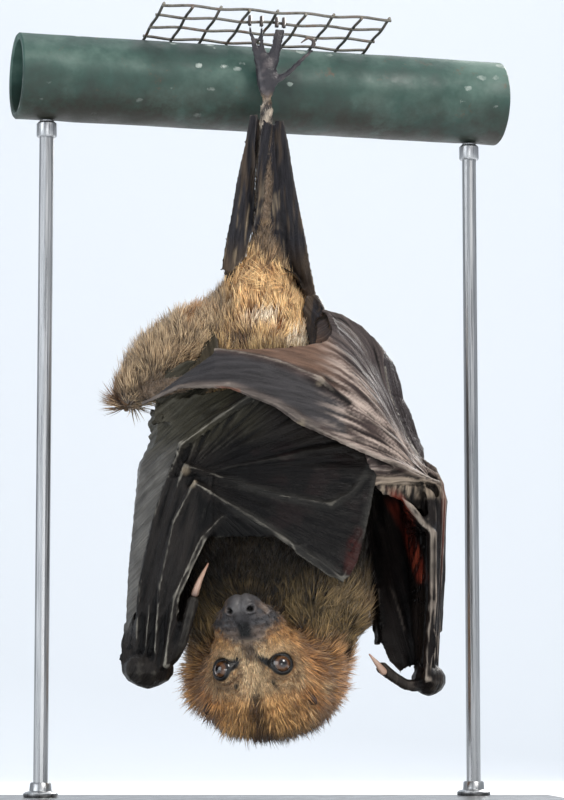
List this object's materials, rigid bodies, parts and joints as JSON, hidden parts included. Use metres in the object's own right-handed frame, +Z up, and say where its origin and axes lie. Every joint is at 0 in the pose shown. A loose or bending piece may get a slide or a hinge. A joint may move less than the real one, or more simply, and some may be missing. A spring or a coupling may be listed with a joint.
{
  "type": "fruit bat model",
  "caption": "Life-size fruit bat at roost, hanging head down by one foot from a cut length of pipe and wire netting, wings folded across the body, on a plain stand.",
  "frame": {"origin": "middle of the stand base's underside", "axes": "+Z up, -Y towards the viewer whom the bat faces, +X to the viewer's right, which is the bat's own right side"},
  "size_m": [0.24, 0.144, 0.3313],
  "materials": {
    "golden_fur": "long soft golden-brown fur",
    "brown_fur": "dark olive-brown fur with tan tips",
    "grey_fur": "short grey-tan fur",
    "bare_skin": "fine-grained bare skin, slightly moist",
    "wing_skin": "thin wrinkled flight membrane, satin",
    "finger_skin": "skin stretched over finger bones, satin",
    "claw_horn": "translucent pinkish horn",
    "dark_claw": "dark horn",
    "eye_surface": "wet brown eye",
    "pipe_paint": "flaking teal-green paint with grime",
    "galvanized_wire": "dull galvanized wire",
    "rod_steel": "satin steel",
    "base_lacquer": "satin black lacquer"
  },
  "bodies": {
    "root": {"digit_2_left": "finger_skin", "digit_2_right": "finger_skin", "digit_3_left": "finger_skin", "digit_3_right": "finger_skin", "digit_4_left": "finger_skin", "digit_4_right": "finger_skin", "digit_5_left": "finger_skin", "digit_5_right": "finger_skin", "dorsal_membrane_left": "wing_skin", "dorsal_membrane_right": "wing_skin", "ear_left": "bare_skin", "ear_right": "bare_skin", "eye_left": "eye_surface", "eye_right": "eye_surface", "foot_left": "bare_skin", "foot_right": "bare_skin", "forearm_left": "wing_skin", "forearm_right": "wing_skin", "head": "golden_fur", "leg_membrane_left": "wing_skin", "leg_membrane_right": "wing_skin", "membrane_2_3_left": "wing_skin", "membrane_2_3_right": "wing_skin", "membrane_3_4_left": "wing_skin", "membrane_3_4_right": "wing_skin", "membrane_4_5_left": "wing_skin", "membrane_4_5_right": "wing_skin", "muzzle": "bare_skin", "neck": "brown_fur", "nose": "bare_skin", "perch_netting": "galvanized_wire", "perch_pipe": "pipe_paint", "plagiopatagium_left": "wing_skin", "plagiopatagium_right": "wing_skin", "propatagium_left": "wing_skin", "propatagium_right": "wing_skin", "shank_left": "bare_skin", "shank_right": "bare_skin", "stand_base": "base_lacquer", "stand_rod_left": "rod_steel", "stand_rod_right": "rod_steel", "thigh_left": "grey_fur", "thigh_right": "golden_fur", "thumb_claw_left": "claw_horn", "thumb_claw_right": "claw_horn", "thumb_left": "finger_skin", "thumb_right": "finger_skin", "toe_claw_1_right": "dark_claw", "toe_claw_2_right": "dark_claw", "toe_claw_3_right": "dark_claw", "toe_claw_4_right": "dark_claw", "toe_claw_5_right": "claw_horn", "trunk": "golden_fur", "upper_arm_left": "grey_fur", "upper_arm_right": "grey_fur", "uropatagium_right": "wing_skin", "wrist_left": "wing_skin", "wrist_right": "wing_skin"}
  },
  "joints": []
}
